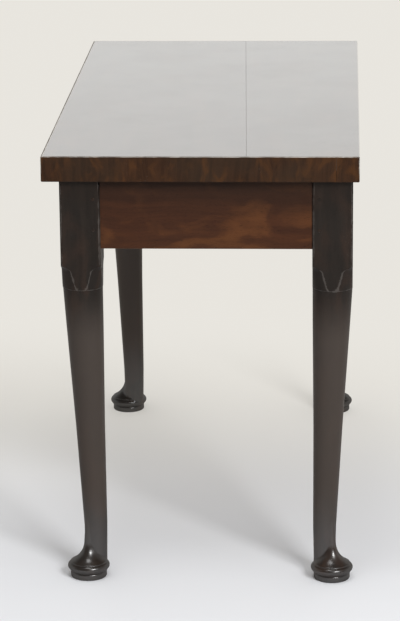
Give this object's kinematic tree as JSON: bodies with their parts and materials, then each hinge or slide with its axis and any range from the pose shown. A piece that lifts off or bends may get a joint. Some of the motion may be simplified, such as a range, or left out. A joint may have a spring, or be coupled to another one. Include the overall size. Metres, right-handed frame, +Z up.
{
  "type": "lowboy",
  "caption": "Dark wood lowboy: a small side table on turned pad-foot legs with a plain overhanging top and a row of shallow drawers in the front.",
  "frame": {"origin": "on the floor, under the middle of the top", "axes": "+X along the length, the drawer fronts face -Y, +Z up"},
  "size_m": [1, 0.5, 0.715],
  "materials": {
    "mahogany_top": "polished",
    "mahogany_frame": "polished",
    "mahogany_figured": "polished",
    "oak": "bare",
    "brass": "aged",
    "steel": "dull"
  },
  "bodies": {
    "carcase": {"top_board_front": "mahogany_top", "top_board_back": "mahogany_top", "top_lipping_front": "mahogany_frame", "top_lipping_back": "mahogany_frame", "top_lipping_left": "mahogany_frame", "top_lipping_right": "mahogany_frame", "top_facing_front": "mahogany_figured", "top_facing_left": "mahogany_figured", "top_facing_right": "mahogany_figured", "top_screws": "steel", "leg_front_left": "mahogany_frame", "leg_front_right": "mahogany_frame", "leg_back_left": "mahogany_frame", "leg_back_right": "mahogany_frame", "side_apron_left": "mahogany_figured", "side_apron_right": "mahogany_figured", "back_apron": "oak", "upper_drawer_rail": "mahogany_frame", "lower_drawer_rail": "mahogany_frame", "drawer_divider_left": "mahogany_frame", "drawer_divider_right": "mahogany_frame", "tenon_pegs": "mahogany_frame", "side_runner_left": "oak", "side_runner_right": "oak", "centre_runner_left": "oak", "centre_runner_right": "oak", "centre_guide_left": "oak", "centre_guide_right": "oak", "kicker_left": "oak", "kicker_right": "oak", "glue_blocks": "oak", "drawer_stops": "oak"},
    "left_drawer": {"left_drawer_front": "mahogany_figured", "left_drawer_left_side": "oak", "left_drawer_right_side": "oak", "left_drawer_back": "oak", "left_drawer_bottom": "oak", "left_drawer_cock_beads": "mahogany_frame", "left_drawer_handle_posts": "brass"},
    "left_bail": {"left_drawer_bail": "brass"},
    "centre_drawer": {"centre_drawer_front": "mahogany_figured", "centre_drawer_left_side": "oak", "centre_drawer_right_side": "oak", "centre_drawer_back": "oak", "centre_drawer_bottom": "oak", "centre_drawer_cock_beads": "mahogany_frame", "centre_drawer_handle_posts": "brass", "lock_case": "steel", "escutcheon": "brass"},
    "centre_bail": {"centre_drawer_bail": "brass"},
    "right_drawer": {"right_drawer_front": "mahogany_figured", "right_drawer_left_side": "oak", "right_drawer_right_side": "oak", "right_drawer_back": "oak", "right_drawer_bottom": "oak", "right_drawer_cock_beads": "mahogany_frame", "right_drawer_handle_posts": "brass"},
    "right_bail": {"right_drawer_bail": "brass"},
    "lock_bolt": {"lock_bolt": "steel"}
  },
  "joints": [
    {"name": "left_drawer_slide", "type": "slide", "parent": "carcase", "child": "left_drawer", "axis": [0, -1, 0], "range_m": [0, 0.3]},
    {"name": "left_bail_swing", "type": "hinge", "parent": "left_drawer", "child": "left_bail", "pos_m": [-0.3, -0.231, 0.6223], "axis": [-1, 0, 0], "range_deg": [0, 150]},
    {"name": "centre_drawer_slide", "type": "slide", "parent": "carcase", "child": "centre_drawer", "axis": [0, -1, 0], "range_m": [0, 0.3]},
    {"name": "centre_bail_swing", "type": "hinge", "parent": "centre_drawer", "child": "centre_bail", "pos_m": [0, -0.231, 0.6223], "axis": [-1, 0, 0], "range_deg": [0, 150]},
    {"name": "right_drawer_slide", "type": "slide", "parent": "carcase", "child": "right_drawer", "axis": [0, -1, 0], "range_m": [0, 0.3]},
    {"name": "right_bail_swing", "type": "hinge", "parent": "right_drawer", "child": "right_bail", "pos_m": [0.3, -0.231, 0.6223], "axis": [-1, 0, 0], "range_deg": [0, 150]},
    {"name": "lock_bolt_throw", "type": "slide", "parent": "centre_drawer", "child": "lock_bolt", "axis": [0, 0, 1], "range_m": [0, 0.006]}
  ]
}
